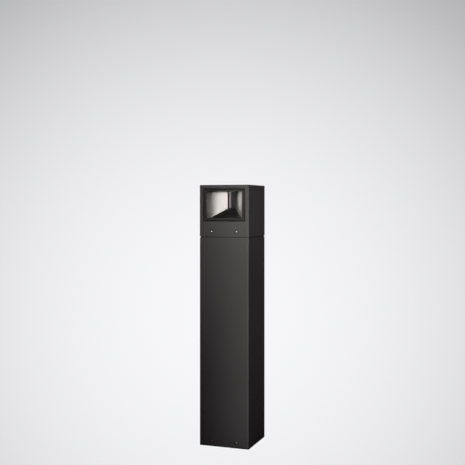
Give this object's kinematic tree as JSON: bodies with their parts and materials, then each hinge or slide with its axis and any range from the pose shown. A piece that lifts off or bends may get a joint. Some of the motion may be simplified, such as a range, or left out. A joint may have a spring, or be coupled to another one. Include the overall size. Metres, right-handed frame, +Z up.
{
  "type": "bollard light",
  "caption": "Square-section bollard light: a box head with a framed window and V reflector on a tall hollow post, clamped by set screws over a ground anchor plate.",
  "frame": {"origin": "centre of the square footprint, on the ground under the base gasket", "axes": "+Z up along the post; the light window faces -Y; +X is to the right when looking at the window"},
  "size_m": [0.16, 0.16, 0.804],
  "materials": {
    "powder_coat": "fine-texture matt powder coat",
    "black_frame": "satin black",
    "bright_reflector": "bright anodised, satin",
    "black_plastic": "moulded, satin",
    "grey_plastic": "moulded",
    "white_plastic": "moulded",
    "rubber": "matt",
    "silicone": "matt",
    "stainless": "turned",
    "zinc_steel": "zinc plated",
    "galvanised": "hot-dip galvanised",
    "black_steel": "blackened",
    "cast_alloy": "cast, bead blasted",
    "sheet_alloy": "mill finish",
    "clear_glass": "clear safety glass",
    "clear_optic": "clear moulded",
    "led_phosphor": "phosphor",
    "cable_jacket": "matt jacket"
  },
  "bodies": {
    "ground_anchor": {"base_gasket": "rubber", "anchor_plate": "galvanised", "anchor_upright_front": "galvanised", "anchor_upright_rear": "galvanised"},
    "post": {"post_tube": "powder_coat", "post_inserts": "black_steel", "post_set_screws": "stainless", "post_adapter": "black_frame", "adapter_screws": "stainless", "coupler_socket": "black_plastic", "box_bracket": "zinc_steel", "bracket_screws": "stainless", "terminal_box": "grey_plastic", "terminal_box_seal": "rubber", "terminal_box_lid": "grey_plastic", "terminal_lid_screws": "stainless", "terminal_block": "white_plastic", "fuse_carrier": "grey_plastic", "supply_gland": "black_plastic", "lamp_gland": "black_plastic", "coupler_cable": "cable_jacket", "earth_stud": "zinc_steel", "earth_nut": "zinc_steel"},
    "head": {"head_housing": "powder_coat", "head_inserts": "black_steel", "head_set_screws": "stainless", "window_seal": "silicone", "window_frame": "black_frame", "frame_screws": "stainless", "glass_seal": "silicone", "glass_pane": "clear_glass", "left_reflector": "bright_reflector", "right_reflector": "bright_reflector", "reflector_back": "black_plastic", "throat_fin": "bright_reflector", "fin_foot": "black_plastic", "glare_ramp": "black_plastic", "optic_cover": "black_plastic", "led_lens": "clear_optic", "led_chips": "led_phosphor", "led_board": "white_plastic", "heat_spreader": "sheet_alloy", "spreader_screws": "stainless", "gear_tray": "zinc_steel", "tray_screws": "zinc_steel", "led_driver": "white_plastic", "surge_protector": "grey_plastic", "driver_cable": "cable_jacket", "head_floor": "cast_alloy", "floor_seal": "silicone", "floor_screws": "stainless", "coupler_plug": "black_plastic", "plug_nut": "black_plastic", "pressure_vent": "black_plastic", "vent_nut": "black_plastic"}
  },
  "joints": [
    {"name": "post_lift", "type": "slide", "parent": "ground_anchor", "child": "post", "axis": [0, 0, 1], "range_m": [0, 0.12]},
    {"name": "head_lift", "type": "slide", "parent": "post", "child": "head", "axis": [0, 0, 1], "range_m": [0, 0.12]}
  ]
}
